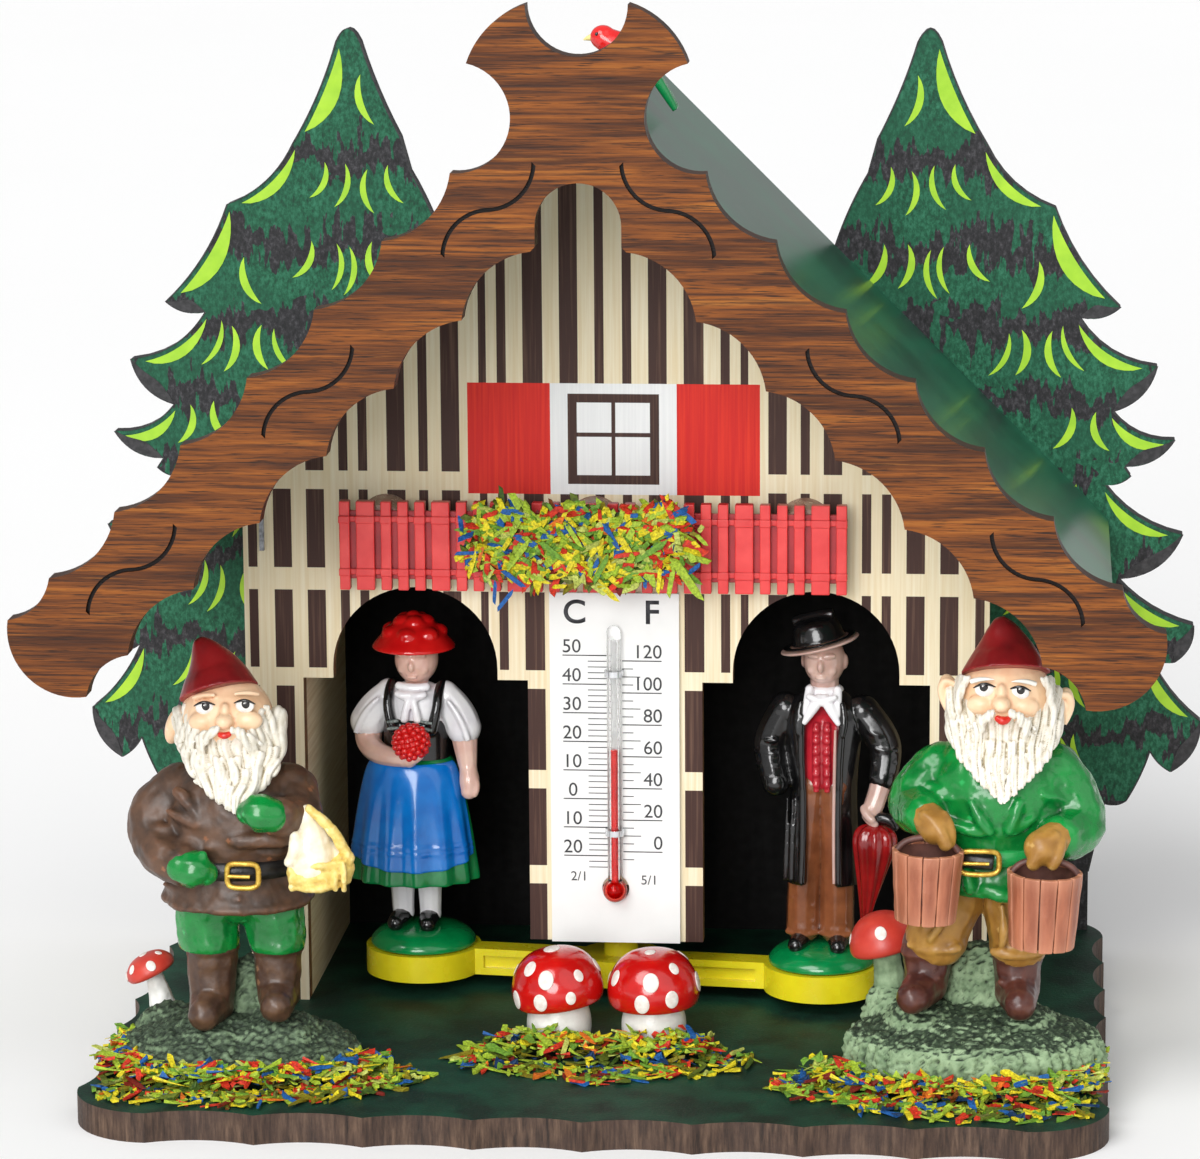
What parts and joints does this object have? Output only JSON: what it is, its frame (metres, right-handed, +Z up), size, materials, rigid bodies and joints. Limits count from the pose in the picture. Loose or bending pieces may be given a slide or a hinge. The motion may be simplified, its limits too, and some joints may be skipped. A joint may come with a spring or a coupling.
{
  "type": "weather house",
  "caption": "Small wooden house under a deep green roof: a gut-hung carousel swings a woman or a man out of arched doorways beside a thermometer, with gnomes and firs around.",
  "frame": {"origin": "middle of the base plate's lower face, on the table", "axes": "+Z up, -Y towards the viewer in front of the doorways, +X to the viewer's right"},
  "size_m": [0.1828, 0.116, 0.1651],
  "materials": {
    "base_green": "flocked dark green top, bark brown edge",
    "birch_print": "pale birch ply with a dark brown timber print",
    "plywood": "plain plywood",
    "black_ply": "matt black paint",
    "green_lacquer": "glossy dark green lacquer",
    "walnut": "walnut stain, satin",
    "fir_print": "printed fir needles",
    "steel": "plain wire",
    "red_plastic": "moulded red plastic",
    "hot_glue": "clear hot glue",
    "dyed_shavings": "dyed wood shavings, mostly yellow and lime",
    "white_plate": "white scale plate with plain numbers",
    "clear_glass": "clear glass",
    "red_spirit": "red dyed spirit",
    "resin_left": "painted cast resin",
    "resin_right": "painted cast resin",
    "white_paint": "white painted wood",
    "red_lacquer": "red lacquered wood with white spots",
    "brass_pin": "plain brass",
    "bird_paint": "red bird with green wings",
    "gut": "twisted gut",
    "yellow_plastic": "moulded yellow plastic",
    "woman_paint": "painted moulded plastic",
    "man_paint": "painted moulded plastic"
  },
  "bodies": {
    "house": {"base_plate": "base_green", "front_wall": "birch_print", "left_wall": "plywood", "right_wall": "plywood", "rear_wall": "black_ply", "ridge_beam": "plywood", "left_roof": "green_lacquer", "right_roof": "green_lacquer", "left_bargeboard": "walnut", "right_bargeboard": "walnut", "left_fir": "fir_print", "right_fir": "fir_print", "wall_staple": "steel", "fir_staples": "steel", "balcony_fence": "red_plastic", "fence_glue": "hot_glue", "balcony_flowers": "dyed_shavings", "thermometer_plate": "white_plate", "thermometer_tube": "clear_glass", "thermometer_spirit": "red_spirit", "tube_clips": "steel", "left_gnome": "resin_left", "right_gnome": "resin_right", "left_mushroom_stem": "white_paint", "left_mushroom_cap": "red_lacquer", "right_mushroom_stem": "white_paint", "right_mushroom_cap": "red_lacquer", "left_shavings": "dyed_shavings", "right_shavings": "dyed_shavings", "front_shavings": "dyed_shavings"},
    "adjuster": {"adjuster_spindle": "brass_pin", "spindle_collar": "brass_pin", "bird": "bird_paint"},
    "carousel": {"gut_strand": "gut", "carousel_arm": "yellow_plastic", "woman_figure": "woman_paint", "man_figure": "man_paint"}
  },
  "joints": [
    {"name": "adjuster_turn", "type": "hinge", "parent": "house", "child": "adjuster", "pos_m": [0, 0.0095, 0.1], "axis": [0, 0, 1], "range_deg": [-10, 10]},
    {"name": "carousel_swing", "type": "hinge", "parent": "adjuster", "child": "carousel", "pos_m": [0, 0.0095, 0.1], "axis": [0, 0, 1], "range_deg": [-18.5, 31.5]}
  ]
}
